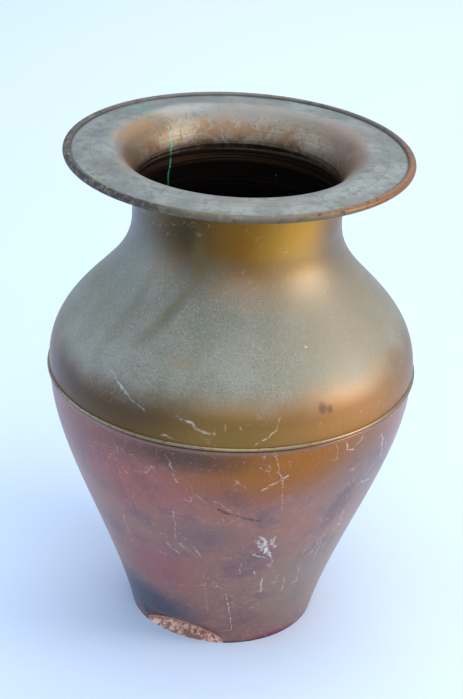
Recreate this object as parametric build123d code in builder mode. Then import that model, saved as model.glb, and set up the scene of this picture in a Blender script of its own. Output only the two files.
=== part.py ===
"""Umbrella stand: a copper urn made of spun shells that are lapped and soldered.

The urn stands on the origin with its axis along +Z, and all sizes are millimetres.
Every piece is a body of revolution.  Its section is drawn on Plane.XZ, where the first
coordinate is the radius and the second is the height above the floor.
"""

import os

from build123d import *

# Stock
sheet = 1.0  # thickness of the three spun shells
bottom_sheet = 1.2  # thickness of the bottom, which takes the umbrella tips
wire_radius = 2.5  # stiffening wire inside the rim
wire_play = 0.05  # clearance between the wire and the roll around it
solder_film = 0.15  # gap between two lapped sheets, which the solder fills
solder_leg = 2.5  # height of each solder fillet

# Lower shell, outside surface
foot_radius = 87.2
foot_slope = 0.235  # radius gained per unit of height at the foot
foot_pull = 0.37  # share of the wall's height over which the foot's slope carries
waist_radius = 165.2
waist_height = 248.4  # top of the tapered wall, where the stop bead starts
waist_pull = 0.25  # share of the wall's height over which the waist stays upright
stop_bead_height = 3.6  # swaged bead that the upper shell is set down on
stop_bead_proud = 0.8
spigot_length = 8.5  # upright part of the lower shell above the stop bead

# Upper shell, outside surface
seam_gap = 1.0  # between the stop bead and the hem, at the waist
hem_gap = 0.8  # space inside the hem folded along the lower edge of the skirt
hem_leaf = 2.4  # length of the folded leaf above its bend
shoulder_rise = 140.5  # from the top of the cylindrical skirt to the upright neck
shoulder_pull = 0.457  # share of the rise over which the skirt stays upright
neck_pull = 0.433  # share of the rise over which the neck stays upright
neck_radius = 92.8
neck_length = 30.5  # upright part of the neck

# Flared rim, top surface
collar_length = 17.0  # upright part of the flare, inside the neck
flare_rise = 31.8  # from the top of the neck to the brow of the flare
flare_reach = 31.5  # from the inside of the collar out to the brow
flare_pull = 0.56  # share of the rise and of the reach held by each end of the curve
land_reach = 24.5  # from the brow out to the groove beside the rolled edge
land_drop = 3.0  # fall of the land over that reach
groove_rise = 1.0  # height of the groove above the middle of the roll
roll_slit = 0.5  # gap between the raw edge of the roll and the fold above it
slit_drop = 0.5  # from the underside of the land down to the gap
slit_overcut = 0.25  # how far the gap is cut past each side of the roll's sheet

# Bottom
bottom_height = 8.0  # top surface of the bottom above the floor
bottom_bend = 3.0  # outside radius of the bend between the bottom and its flange
flange_setback = 0.5  # how far the flange's edge stays above the floor

# Places that follow from the sizes above
bead_top = waist_height + stop_bead_height
spigot_top = bead_top + spigot_length
spigot_inner = waist_radius - sheet
skirt_inner = waist_radius + solder_film
skirt_outer = skirt_inner + sheet
hem_bottom = bead_top + seam_gap
hem_bend = hem_gap / 2 + sheet  # outside radius of the hem's bend
hem_centre = skirt_outer + hem_gap / 2
hem_middle = hem_bottom + hem_bend
skirt_top = max(spigot_top, hem_middle + hem_leaf)
neck_start = skirt_top + shoulder_rise
neck_top = neck_start + neck_length
collar_outer = neck_radius - sheet - solder_film
collar_inner = collar_outer - sheet
collar_bottom = neck_top - collar_length
brow_radius = collar_inner + flare_reach
brow_height = neck_top + flare_rise
groove_radius = brow_radius + land_reach
groove_height = brow_height - land_drop
roll_radius = wire_radius + sheet
roll_centre = (
    groove_radius + (roll_radius**2 - groove_rise**2) ** 0.5,
    groove_height - groove_rise,
)
wall_to_flange = sheet + solder_film  # from the wall's outside to the flange
flange_inner = wall_to_flange + bottom_sheet
inner_bend = bottom_bend - bottom_sheet
spare = 5.0  # length drawn past an end that is then trimmed
trim_width = 4 * waist_radius  # wider than any section that is trimmed
degree = 3  # of every free curve in the outlines
curve_spans = 12  # points kept when a free curve is drawn again at a depth
sliver = 0.001  # a gap shorter than this is closed already
up = (0, 1)


def curve(start, leaving, hold, end, arriving, brake):
    """Return a cubic curve that keeps a direction at each end over a given length."""
    chord = (Vector(end) - Vector(start)).length
    pulls = [degree * hold / chord, degree * brake / chord]
    return Spline(start, end, tangents=[leaving, arriving], tangent_scalars=pulls)


def beside(outline, depth):
    """Draw a line at a depth to the left of an outline and return its two ends."""
    points = []
    for edge in outline:
        spans = 1 if edge.geom_type == GeomType.LINE else curve_spans
        stretch = []
        for step in range(spans + 1):
            along = edge % (step / spans)
            stretch.append(edge @ (step / spans) + along.rotate(Axis.Z, 90) * depth)
        if points and (stretch[0] - points[-1]).length > sliver:
            Line(points[-1], stretch[0])
        if spans == 1:
            Line(*stretch)
        else:
            Spline(*stretch, tangents=[edge % 0, edge % 1])
        points += stretch
    return points[0], points[-1]


def sheet_section(outline, near, far):
    """Draw the section of a sheet that lies between two depths from an outline."""
    with BuildLine() as border:
        near_start, near_end = beside(outline, near)
        far_start, far_end = beside(outline, far)
        Line(near_start, far_start)
        Line(near_end, far_end)
    make_face(border.edges())


def keep_between(low, high):
    """Trim the section that is being drawn to what lies between two heights."""
    with Locations((0, (low + high) / 2)):
        Rectangle(trim_width, high - low, mode=Mode.INTERSECT)


def space_in_wall(depth, top, bend):
    """Return the section of the space at a depth from the wall's outside, up to a top."""
    with BuildSketch(mode=Mode.PRIVATE) as space:
        with BuildLine():
            low_end, high_end = beside(wall_line, depth)
            Polyline(high_end, (0, high_end.Y), (0, low_end.Y), low_end)
        make_face()
        keep_between(flange_setback, top)
        if bend:
            fillet(space.vertices().group_by(Axis.Y)[-1].sort_by(Axis.X)[-1], bend)
    return space.sketch


# Outside of the tapered wall, from below the floor to the stop bead
foot = (foot_radius, 0)
waist = (waist_radius, waist_height)
lean = (foot_slope, 1)
wall_line = [
    Line((foot_radius - spare * foot_slope, -spare), foot),
    curve(foot, lean, foot_pull * waist_height, waist, up, waist_pull * waist_height),
]

# Outside of the whole lower shell: the wall, the stop bead and the spigot above it
crown = (waist_radius + stop_bead_proud, waist_height + stop_bead_height / 2)
spigot = (waist_radius, bead_top)
lower_line = wall_line + [
    ThreePointArc(waist, crown, spigot),
    Line(spigot, (waist_radius, spigot_top)),
]

# Outside of the upper shell, from the hem's bend to the top of the neck
skirt = (skirt_outer, skirt_top)
neck = (neck_radius, neck_start)
shoulder_line = [
    Line((skirt_outer, hem_middle), skirt),
    curve(skirt, up, shoulder_pull * shoulder_rise, neck, up, neck_pull * shoulder_rise),
    Line(neck, (neck_radius, neck_top)),
]

# Top surface of the rim: collar, flare, and the land that falls from brow to groove
throat = (collar_inner, neck_top)
brow = (brow_radius, brow_height)
fall = (land_reach, -land_drop)
flare_line = [
    Line((collar_inner, collar_bottom), throat),
    curve(throat, up, flare_pull * flare_rise, brow, fall, flare_pull * flare_reach),
    Line(brow, (groove_radius, groove_height)),
]

# Lower shell: tapered wall, stop bead and spigot
with BuildPart() as lower_shell:
    with BuildSketch(Plane.XZ):
        sheet_section(lower_line, 0, sheet)
        keep_between(0, spigot_top)
    revolve()
lower_shell.part.label = "lower_shell"

# Upper shell: skirt with its hem folded outwards, shoulder and neck
with BuildPart() as upper_shell:
    with BuildSketch(Plane.XZ) as upper_section:
        sheet_section(shoulder_line, 0, sheet)
        with Locations((hem_centre, hem_middle)):
            Circle(hem_bend)
        with Locations((hem_centre, hem_middle + hem_leaf / 2)):
            Rectangle(2 * hem_bend, hem_leaf)
            Rectangle(hem_gap, hem_leaf, mode=Mode.SUBTRACT)
        with Locations((hem_centre, hem_middle)):
            Circle(hem_gap / 2, mode=Mode.SUBTRACT)
    revolve()
upper_shell.part.label = "upper_shell"

# Flared rim: collar, trumpet-shaped flare, land and the edge rolled over the wire
with BuildPart() as flared_rim:
    with BuildSketch(Plane.XZ) as rim_section:
        sheet_section(flare_line, 0, -sheet)
        with Locations(roll_centre):
            Circle(roll_radius)
            Circle(wire_radius, mode=Mode.SUBTRACT)
        with Locations((groove_radius, groove_height - sheet - slit_drop - roll_slit / 2)):
            Rectangle(2 * (sheet + slit_overcut), roll_slit, mode=Mode.SUBTRACT)
    revolve()
flared_rim.part.label = "flared_rim"

# Rim wire: the steel hoop that stiffens the rim
with BuildPart() as rim_wire:
    with BuildSketch(Plane.XZ):
        with Locations(roll_centre):
            Circle(wire_radius - wire_play)
    revolve()
rim_wire.part.label = "rim_wire"

# Bottom: flat disc whose flange is turned down along the inside of the wall
with BuildPart() as bottom_plate:
    with BuildSketch(Plane.XZ):
        add(space_in_wall(wall_to_flange, bottom_height, bottom_bend))
        under = space_in_wall(flange_inner, bottom_height - bottom_sheet, inner_bend)
        add(under, mode=Mode.SUBTRACT)
    revolve()
bottom_plate.part.label = "bottom_plate"

# Waist solder: film in the lap between the spigot and the skirt, and the fillet above it
with BuildPart() as waist_solder:
    with BuildSketch(Plane.XZ):
        with BuildLine():
            fillet_top = (skirt_inner, spigot_top + solder_leg)
            edge_of_spigot = (spigot_inner, spigot_top)
            Polyline(
                fillet_top,
                (skirt_inner, hem_bottom),
                (waist_radius, hem_bottom),
                (waist_radius, spigot_top),
                edge_of_spigot,
                fillet_top,
            )
        make_face()
        add(upper_section.sketch_local, mode=Mode.SUBTRACT)
    revolve()
waist_solder.part.label = "waist_solder"

# Collar solder: film between the collar and the neck, and the fillet on the neck's edge
with BuildPart() as collar_solder:
    with BuildSketch(Plane.XZ):
        with BuildLine():
            fillet_top = (collar_outer, neck_top + solder_leg)
            edge_of_neck = (neck_radius, neck_top)
            neck_inner = neck_radius - sheet
            Polyline(
                edge_of_neck,
                (neck_inner, neck_top),
                (neck_inner, collar_bottom),
                (collar_outer, collar_bottom),
                fillet_top,
                edge_of_neck,
            )
        make_face()
        add(rim_section.sketch_local, mode=Mode.SUBTRACT)
    revolve()
collar_solder.part.label = "collar_solder"

# Bottom solder: film around the flange, and the fillet where the bottom meets the wall
with BuildPart() as bottom_solder:
    with BuildSketch(Plane.XZ):
        add(space_in_wall(sheet, bottom_height + solder_leg, 0))
        add(space_in_wall(wall_to_flange, bottom_height, bottom_bend), mode=Mode.SUBTRACT)
        wall_at_bottom = foot_radius + foot_slope * bottom_height - sheet
        fillet_start = wall_at_bottom - solder_leg
        with Locations((fillet_start, bottom_height + solder_leg)):
            Circle(solder_leg, mode=Mode.SUBTRACT)
        with Locations((fillet_start / 2, bottom_height)):
            Rectangle(fillet_start, 2 * solder_leg, mode=Mode.SUBTRACT)
    revolve()
bottom_solder.part.label = "bottom_solder"

pieces = [
    lower_shell,
    upper_shell,
    flared_rim,
    rim_wire,
    bottom_plate,
    waist_solder,
    collar_solder,
    bottom_solder,
]
os.makedirs("parts", exist_ok=True)
for piece in pieces:
    export_step(piece.part, f"parts/{piece.part.label}.step")
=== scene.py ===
"""Looks of the copper umbrella stand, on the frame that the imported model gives.

Lengths in the classes are millimetres, as a coppersmith would write them, and one
function turns them to metres.  The urn stands on the origin, +Z is up and -Y is its
front.  The two shells, the rim and its wire are turned again here in finer detail.  The
bottom disc and its solder are copies of the frame's meshes, pushed in where the foot is
dented.  The solder at the waist and at the neck keeps the frame's own meshes.
"""

import logging
import math
from collections.abc import Mapping, Sequence
from dataclasses import dataclass, field
from enum import Enum

import bmesh
import bpy
from mathutils import Euler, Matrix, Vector

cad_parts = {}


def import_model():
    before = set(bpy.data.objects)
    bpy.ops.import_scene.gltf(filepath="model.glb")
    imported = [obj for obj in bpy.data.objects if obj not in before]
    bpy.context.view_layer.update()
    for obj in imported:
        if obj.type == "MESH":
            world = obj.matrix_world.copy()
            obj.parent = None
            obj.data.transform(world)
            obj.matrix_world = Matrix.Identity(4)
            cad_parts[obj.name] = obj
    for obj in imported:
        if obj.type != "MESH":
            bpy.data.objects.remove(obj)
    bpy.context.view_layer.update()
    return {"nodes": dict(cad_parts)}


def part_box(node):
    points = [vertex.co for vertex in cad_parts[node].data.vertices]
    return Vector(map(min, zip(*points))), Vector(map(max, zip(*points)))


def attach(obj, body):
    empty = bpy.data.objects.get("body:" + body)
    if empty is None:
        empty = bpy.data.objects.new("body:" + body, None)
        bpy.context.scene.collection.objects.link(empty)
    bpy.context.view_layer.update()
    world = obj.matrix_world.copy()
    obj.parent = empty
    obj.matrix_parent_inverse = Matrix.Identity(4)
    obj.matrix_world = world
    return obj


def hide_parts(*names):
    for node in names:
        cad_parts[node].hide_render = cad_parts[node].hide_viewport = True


LOG = logging.getLogger("umbrella_stand")
BODY = "root"
MM = 0.001
Point = tuple[float, float]
Place = tuple[float, float, float]
SEED_STEPS: Place = (31.0, 17.0, 23.0)


def metres(length: float) -> float:
    """Return a length in millimetres as metres."""
    return length * MM


def linear(colour: str, alpha: float = 1.0) -> tuple[float, float, float, float]:
    """Turn an sRGB hex colour to the linear values that shaders use.

    Args:
        colour: Six hex digits, such as "8A5A3C".
        alpha: Opacity to add as the fourth value.

    Returns:
        Red, green and blue in linear light, and the opacity.
    """
    channels = [int(colour[start : start + 2], 16) / 255 for start in (0, 2, 4)]
    red, green, blue = (
        value / 12.92 if value <= 0.04045 else ((value + 0.055) / 1.055) ** 2.4
        for value in channels
    )
    return red, green, blue, alpha


def top(node: str) -> float:
    """Return the height of a frame node's highest point, in millimetres."""
    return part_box(node)[1][2] / MM


def bottom(node: str) -> float:
    """Return the height of a frame node's lowest point, in millimetres."""
    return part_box(node)[0][2] / MM


def reach(node: str) -> float:
    """Return how far a frame node reaches from the axis, in millimetres."""
    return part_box(node)[1][0] / MM


def smooth(low: float, high: float, value: float) -> float:
    """Return 0 below low, 1 above high and an even S-curve between them."""
    share = min(1.0, max(0.0, (value - low) / (high - low)))
    return share * share * (3 - 2 * share)


def face_outwards(mesh: bpy.types.Mesh) -> None:
    """Make every face of a closed mesh point out of its solid."""
    work = bmesh.new()
    work.from_mesh(mesh)
    bmesh.ops.recalc_face_normals(work, faces=work.faces)
    if work.calc_volume(signed=True) < 0:
        bmesh.ops.reverse_faces(work, faces=work.faces)
    work.to_mesh(mesh)
    work.free()


class Graph:
    """A node tree that is written one node at a time."""

    def __init__(self, tree: bpy.types.NodeTree) -> None:
        """Empty a node tree and keep it.

        Args:
            tree: The shader or geometry tree to build in.
        """
        self.tree = tree
        tree.nodes.clear()

    def add(
        self,
        kind: str,
        inputs: Mapping[str | int, object] | None = None,
        output: str | int = 0,
        **settings: object,
    ) -> bpy.types.NodeSocket:
        """Add a node, set it, feed its inputs and return one of its outputs.

        Args:
            kind: The node's type, such as "ShaderNodeMath".
            inputs: A value or a socket for each input, by name or by place.
            output: The output to return, by name or by place.
            **settings: The node's own properties, such as operation.

        Returns:
            The chosen output, or None for a node that has no output.
        """
        node = self.tree.nodes.new(kind)
        for name, value in settings.items():
            setattr(node, name, value)
        open_inputs = [socket for socket in node.inputs if socket.enabled]
        for key, value in (inputs or {}).items():
            if isinstance(key, int):
                socket = open_inputs[key]
            else:
                socket = next(each for each in open_inputs if each.name == key)
            if isinstance(value, bpy.types.NodeSocket):
                self.tree.links.new(value, socket)
            else:
                socket.default_value = value
        open_outputs = [socket for socket in node.outputs if socket.enabled]
        if not open_outputs:
            return None
        if isinstance(output, int):
            return open_outputs[output]
        return next(each for each in open_outputs if each.name == output)


@dataclass
class Outline:
    """The closed section of a turned piece, as radius and height in millimetres."""

    same_place = 1e-4
    points: list[Point] = field(default_factory=list)

    def line(self, start: Point, end: Point, steps: int = 1) -> None:
        """Add a straight stretch."""
        for step in range(steps + 1):
            share = step / steps
            self.add(
                (start[0] + (end[0] - start[0]) * share, start[1] + (end[1] - start[1]) * share)
            )

    def curve(self, controls: Sequence[Point], steps: int, depth: float = 0.0) -> None:
        """Add a cubic curve, or a line beside it.

        Args:
            controls: Start, two control points and end.
            steps: Number of spans that the curve is cut into.
            depth: How far to the left of the curve the line runs.
        """
        start, first, last, end = (Vector(point) for point in controls)
        for step in range(steps + 1):
            share = step / steps
            rest = 1 - share
            place = (
                start * rest**3
                + first * 3 * rest**2 * share
                + last * 3 * rest * share**2
                + end * share**3
            )
            along = (
                (first - start) * rest**2
                + (last - first) * 2 * rest * share
                + (end - last) * share**2
            ).normalized()
            place += Vector((-along.y, along.x)) * depth
            self.add((place.x, place.y))

    def arc(self, centre: Point, radius: float, start: float, end: float, steps: int) -> None:
        """Add an arc.

        Args:
            centre: Centre of the arc.
            radius: Radius of the arc.
            start: Angle of the first point, in degrees from the outward direction.
            end: Angle of the last point.
            steps: Number of spans.
        """
        for step in range(steps + 1):
            angle = math.radians(start + (end - start) * step / steps)
            self.add(
                (centre[0] + radius * math.cos(angle), centre[1] + radius * math.sin(angle))
            )

    def add(self, point: Point) -> None:
        """Add one point, unless the outline is already there."""
        if not self.points or math.dist(self.points[-1], point) > self.same_place:
            self.points.append(point)


class Lathe:
    """Turns outlines into shells with one Geometry Nodes tree."""

    axis_radius = 1e-6
    crease_degrees = 35.0

    def __init__(self) -> None:
        """Build the tree, which carries a closed outline around the urn's axis."""
        self.tree = bpy.data.node_groups.new("turn_on_axis", "GeometryNodeTree")
        face = self.tree.interface
        face.new_socket("Section", in_out="INPUT", socket_type="NodeSocketGeometry")
        self.inputs = {
            name: face.new_socket(name, in_out="INPUT", socket_type=kind).identifier
            for name, kind in (
                ("Segments", "NodeSocketInt"),
                ("Axis radius", "NodeSocketFloat"),
                ("Finish", "NodeSocketMaterial"),
            )
        }
        face.new_socket("Shell", in_out="OUTPUT", socket_type="NodeSocketGeometry")
        graph = Graph(self.tree)
        given = self.tree.nodes.new("NodeGroupInput").outputs
        section = graph.add("GeometryNodeMeshToCurve", {"Mesh": given["Section"]})
        circle = graph.add(
            "GeometryNodeCurvePrimitiveCircle",
            {"Resolution": given["Segments"], "Radius": given["Axis radius"]},
            mode="RADIUS",
        )
        shell = graph.add("GeometryNodeCurveToMesh", {"Curve": circle, "Profile Curve": section})
        shell = graph.add("GeometryNodeSetShadeSmooth", {0: shell})
        shell = graph.add("GeometryNodeRealizeInstances", {0: shell})
        shell = graph.add(
            "GeometryNodeSetMaterial", {"Geometry": shell, "Material": given["Finish"]}
        )
        graph.add("NodeGroupOutput", {"Shell": shell})

    def turn(
        self,
        name: str,
        outline: Outline,
        finish: bpy.types.Material,
        segments: int,
    ) -> bpy.types.Object:
        """Turn a closed outline into a mesh piece.

        Args:
            name: Name of the new piece.
            outline: Closed section; its last point isn't its first.
            finish: Material of the piece.
            segments: Number of faces around the axis.

        Returns:
            The new object, with its place in its mesh.
        """
        count = len(outline.points)
        section = bpy.data.meshes.new(f"{name}_section")
        section.from_pydata(
            [
                (metres(radius) - self.axis_radius, -metres(height), 0.0)
                for radius, height in outline.points
            ],
            [(index, (index + 1) % count) for index in range(count)],
            [],
        )
        blank = bpy.data.objects.new(f"{name}_blank", section)
        bpy.context.collection.objects.link(blank)
        modifier = blank.modifiers.new("turn", "NODES")
        modifier.node_group = self.tree
        for label, value in (
            ("Segments", segments),
            ("Axis radius", self.axis_radius),
            ("Finish", finish),
        ):
            modifier[self.inputs[label]] = value
        graph = bpy.context.evaluated_depsgraph_get()
        mesh = bpy.data.meshes.new_from_object(blank.evaluated_get(graph))
        bpy.data.objects.remove(blank)
        bpy.data.meshes.remove(section)
        mesh.name = name
        face_outwards(mesh)
        mesh.set_sharp_from_angle(angle=math.radians(self.crease_degrees))
        piece = bpy.data.objects.new(name, mesh)
        bpy.context.collection.objects.link(piece)
        return piece


@dataclass
class LowerShell:
    """Tapered body from the floor to the waist, with its stop bead and spigot."""

    sheet: float = 1.0
    foot_radius: float = 87.2
    foot_slope: float = 0.235
    foot_pull: float = 0.36
    waist_height: float = 248.4
    waist_pull: float = 0.25
    bead_height: float = 3.6
    bead_proud: float = 0.8
    segments: int = 420

    def __post_init__(self) -> None:
        """Take the sizes that the frame settles."""
        self.waist_radius = reach("lower_shell") - self.bead_proud
        self.spigot_top = top("lower_shell")

    def wall(self) -> list[Point]:
        """Return the control points of the tapered wall's outside."""
        hold = self.foot_pull * self.waist_height
        return [
            (self.foot_radius, 0.0),
            (self.foot_radius + self.foot_slope * hold, hold),
            (self.waist_radius, self.waist_height * (1 - self.waist_pull)),
            (self.waist_radius, self.waist_height),
        ]

    def outline(self) -> Outline:
        """Return the closed section, up the outside and down the inside."""
        section = Outline()
        section.curve(self.wall(), steps=150)
        crown = self.waist_height + self.bead_height / 2
        half = self.bead_height / 2
        radius = (half**2 + self.bead_proud**2) / (2 * self.bead_proud)
        centre = (self.waist_radius + self.bead_proud - radius, crown)
        spread = math.degrees(math.asin(half / radius))
        section.arc(centre, radius, -spread, spread, steps=8)
        section.line(
            (self.waist_radius, self.waist_height + self.bead_height),
            (self.waist_radius, self.spigot_top),
        )
        inner = self.waist_radius - self.sheet
        section.line((inner, self.spigot_top), (inner, self.waist_height + self.bead_height))
        section.arc(centre, radius - self.sheet, spread, -spread, steps=6)
        inside = Outline()
        inside.curve(self.wall(), steps=60, depth=self.sheet)
        for point in reversed(inside.points):
            section.add((point[0], max(point[1], 0.0)))
        return section


@dataclass
class UpperShell:
    """Skirt with its folded hem, shoulder and neck."""

    sheet: float = 1.0
    hem_gap: float = 0.8
    hem_leaf: float = 2.4
    hem_round: float = 1.6
    hem_steps: int = 8
    shoulder_pull: float = 0.457
    neck_pull: float = 0.433
    neck_length: float = 32.5
    segments: int = 480

    def __post_init__(self) -> None:
        """Take the sizes that the frame settles."""
        self.skirt_radius = reach("upper_shell") - self.hem_gap - self.sheet
        self.hem_bottom = bottom("upper_shell")
        self.skirt_top = top("lower_shell")
        self.neck_radius = reach("collar_solder")
        self.neck_top = top("upper_shell")

    def shoulder(self) -> list[Point]:
        """Return the control points of the shoulder's outside."""
        neck_start = self.neck_top - self.neck_length
        rise = neck_start - self.skirt_top
        return [
            (self.skirt_radius, self.skirt_top),
            (self.skirt_radius, self.skirt_top + self.shoulder_pull * rise),
            (self.neck_radius, neck_start - self.neck_pull * rise),
            (self.neck_radius, neck_start),
        ]

    def outline(self) -> Outline:
        """Return the closed section, from the hem's leaf round to the neck and back."""
        section = Outline()
        bend = self.hem_gap / 2 + self.sheet
        middle = (self.skirt_radius + self.hem_gap / 2, self.hem_bottom + bend)
        leaf_top = middle[1] + self.hem_leaf
        leaf_out = middle[0] + bend
        inner = self.skirt_radius - self.sheet
        width = leaf_out - self.skirt_radius
        section.arc(middle, bend, -180, 0, steps=14)
        section.line((leaf_out, middle[1]), (leaf_out, leaf_top - self.hem_round))
        for step in range(1, self.hem_steps + 1):
            angle = math.pi / 2 * step / self.hem_steps
            section.add(
                (
                    self.skirt_radius + width * math.cos(angle),
                    leaf_top - self.hem_round * (1 - math.sin(angle)),
                )
            )
        section.line(
            (self.skirt_radius, leaf_top), (self.skirt_radius, self.skirt_top), steps=2
        )
        section.curve(self.shoulder(), steps=110)
        neck_start = self.neck_top - self.neck_length
        section.line((self.neck_radius, neck_start), (self.neck_radius, self.neck_top), steps=12)
        throat = self.neck_radius - self.sheet
        section.line((throat, self.neck_top), (throat, neck_start), steps=4)
        inside = Outline()
        inside.curve(self.shoulder(), steps=50, depth=self.sheet)
        for point in reversed(inside.points):
            section.add(point)
        section.line((inner, self.skirt_top), (inner, middle[1]))
        section.points.pop()
        return section


@dataclass
class FlaredRim:
    """Collar, flare, land and the edge rolled over the wire."""

    sheet: float = 1.0
    solder_film: float = 0.15
    flare_rise: float = 31.8
    flare_reach: float = 31.5
    flare_pull: float = 0.56
    land_reach: float = 24.5
    land_drop: float = 3.0
    wire_play: float = 0.05
    slit: float = 0.9
    lean: float = 0.0134
    segments: int = 480

    def __post_init__(self) -> None:
        """Take the sizes that the frame settles."""
        self.collar_bottom = bottom("flared_rim")
        self.collar_inner = reach("collar_solder") - 2 * self.sheet - self.solder_film
        self.throat_height = top("upper_shell")
        self.wire_radius = (top("rim_wire") - bottom("rim_wire")) / 2
        self.roll_radius = self.wire_radius + self.wire_play + self.sheet
        self.roll_centre = (
            reach("rim_wire") - self.wire_radius,
            (top("rim_wire") + bottom("rim_wire")) / 2,
        )
        self.brow = (
            self.collar_inner + self.flare_reach,
            self.throat_height + self.flare_rise,
        )
        self.groove = (self.brow[0] + self.land_reach, self.brow[1] - self.land_drop)

    def flare(self) -> list[Point]:
        """Return the control points of the flare's top surface."""
        fall = Vector((self.land_reach, -self.land_drop)).normalized()
        hold = self.flare_pull * self.flare_reach
        return [
            (self.collar_inner, self.throat_height),
            (self.collar_inner, self.throat_height + self.flare_pull * self.flare_rise),
            (self.brow[0] - fall.x * hold, self.brow[1] - fall.y * hold),
            self.brow,
        ]

    def outline(self) -> Outline:
        """Return the closed section: up the top surface, round the roll and back."""
        section = Outline()
        section.line(
            (self.collar_inner, self.collar_bottom),
            (self.collar_inner, self.throat_height),
            steps=12,
        )
        section.curve(self.flare(), steps=60)
        section.line(self.brow, self.groove, steps=20)
        rise = math.degrees(
            math.asin((self.groove[1] - self.roll_centre[1]) / self.roll_radius)
        )
        fall = math.degrees(math.asin(self.slit * self.sheet / self.roll_radius))
        section.arc(self.roll_centre, self.roll_radius, 180 - rise, -180 + fall, steps=40)
        under = Outline()
        outer = self.collar_inner + self.sheet
        under.line((outer, self.collar_bottom), (outer, self.throat_height), steps=2)
        under.curve(self.flare(), steps=40, depth=-self.sheet)
        fallen = Vector((self.land_reach, -self.land_drop)).normalized() * self.sheet
        under.line(
            (self.brow[0] + fallen.y, self.brow[1] - fallen.x),
            (self.groove[0] + fallen.y, self.groove[1] - fallen.x),
            steps=6,
        )
        for point in reversed(under.points):
            section.add(point)
        return section

    def settle(self, mesh: bpy.types.Mesh) -> None:
        """Lean the rim a little, as the real one does, without raising its high side."""
        high_side = reach("flared_rim")
        for vertex in mesh.vertices:
            share = smooth(self.throat_height, self.brow[1], vertex.co.z / MM)
            vertex.co.z -= share * self.lean * (vertex.co.x + metres(high_side))
        mesh.update()


@dataclass
class RimWire:
    """Steel hoop inside the rolled edge of the rim."""

    segments: int = 480

    def __post_init__(self) -> None:
        """Take the sizes that the frame settles."""
        self.radius = (top("rim_wire") - bottom("rim_wire")) / 2
        self.centre = (reach("rim_wire") - self.radius, bottom("rim_wire") + self.radius)

    def outline(self) -> Outline:
        """Return the round section of the wire."""
        section = Outline()
        section.arc(self.centre, self.radius, 0, 360, steps=20)
        section.points.pop()
        return section


@dataclass
class FootDent:
    """Dent where the foot was knocked in, which bared its copper.

    The crease is its deepest line.  At the tips it keeps a share of its height, and the
    powers say how squarely its height and its depth fall off towards them.
    """

    azimuth: float = -25.0
    half_width: float = 27.0
    crease: float = 9.5
    tip_share: float = 0.2
    crease_power: float = 0.7
    height: float = 25.0
    depth: float = 12.0
    depth_power: float = 0.8
    behind: float = 1.12
    toe: float = 0.1
    bare_above: float = 3.5
    bare_below: float = 0.5
    attribute: str = "bare_copper"

    def across(self, vertex: bpy.types.MeshVertex) -> float:
        """Return how far round from the dent's middle a point is, 1 at its tips."""
        azimuth = math.degrees(math.atan2(vertex.co.x, -vertex.co.y))
        return abs(azimuth - self.azimuth) / self.half_width

    def crease_height(self, across: float) -> float:
        """Return the height of the crease, which falls from the middle to the tips."""
        fall = (1 - across**2) ** self.crease_power
        return self.crease * (self.tip_share + (1 - self.tip_share) * fall)

    def push(self, mesh: bpy.types.Mesh, is_inside: bool = False) -> None:
        """Push the foot of a piece in.

        Args:
            mesh: The piece, whose points are moved.
            is_inside: Whether it lies behind the wall and has to keep clear of it.
        """
        deepest = self.depth * (self.behind if is_inside else 1.0)
        for vertex in mesh.vertices:
            height = vertex.co.z / MM
            across = self.across(vertex)
            radius = math.hypot(vertex.co.x, vertex.co.y)
            if height > self.height or across >= 1 or radius < metres(self.depth * 2):
                continue
            along = (1 - across**2) ** self.depth_power
            crease = self.crease_height(across)
            share = (
                self.toe + (1 - self.toe) * height / crease
                if height < crease
                else 1 - smooth(crease, self.height, height)
            )
            shrink = 1 - metres(deepest * along * share) / radius
            vertex.co.x *= shrink
            vertex.co.y *= shrink
        mesh.update()

    def mark(self, mesh: bpy.types.Mesh) -> None:
        """Mark the bared facet below the crease on the lower shell.

        Args:
            mesh: The lower shell.
        """
        bare = mesh.attributes.new(self.attribute, "FLOAT", "POINT")
        for index, vertex in enumerate(mesh.vertices):
            across = self.across(vertex)
            if across < 1:
                height = vertex.co.z / MM
                crease = self.crease_height(across)
                bare.data[index].value = smooth(
                    crease + self.bare_above, crease - self.bare_below, height
                )


def copy_of_node(
    source: bpy.types.Object, name: str, finish: bpy.types.Material, merge: float = 0.001
) -> bpy.types.Object:
    """Make a new piece from a frame node's mesh, with its loose triangles joined.

    Args:
        source: The frame node's object.
        name: Name of the new piece.
        finish: Material of the new piece.
        merge: Points closer than this many millimetres are one.

    Returns:
        The new object.
    """
    mesh = source.data.copy()
    mesh.name = name
    mesh.transform(source.matrix_world)
    work = bmesh.new()
    work.from_mesh(mesh)
    bmesh.ops.remove_doubles(work, verts=work.verts, dist=metres(merge))
    work.to_mesh(mesh)
    work.free()
    mesh.materials.clear()
    mesh.materials.append(finish)
    piece = bpy.data.objects.new(name, mesh)
    bpy.context.collection.objects.link(piece)
    return piece


@dataclass(frozen=True)
class SoftLight:
    """A square soft light: places and side in millimetres, power in watts."""

    name: str
    place: Place
    aim: Place
    side: float
    colour: str
    power: float

    def hang(self) -> None:
        """Add the light to the scene."""
        lamp = bpy.data.lights.new(self.name, "AREA")
        lamp.energy = self.power
        lamp.size = metres(self.side)
        lamp.color = linear(self.colour)[:3]
        holder = bpy.data.objects.new(self.name, lamp)
        bpy.context.collection.objects.link(holder)
        holder.location = Vector(self.place) * MM
        beam = Vector(self.aim) - Vector(self.place)
        holder.rotation_euler = beam.to_track_quat("-Z", "Y").to_euler()


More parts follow.
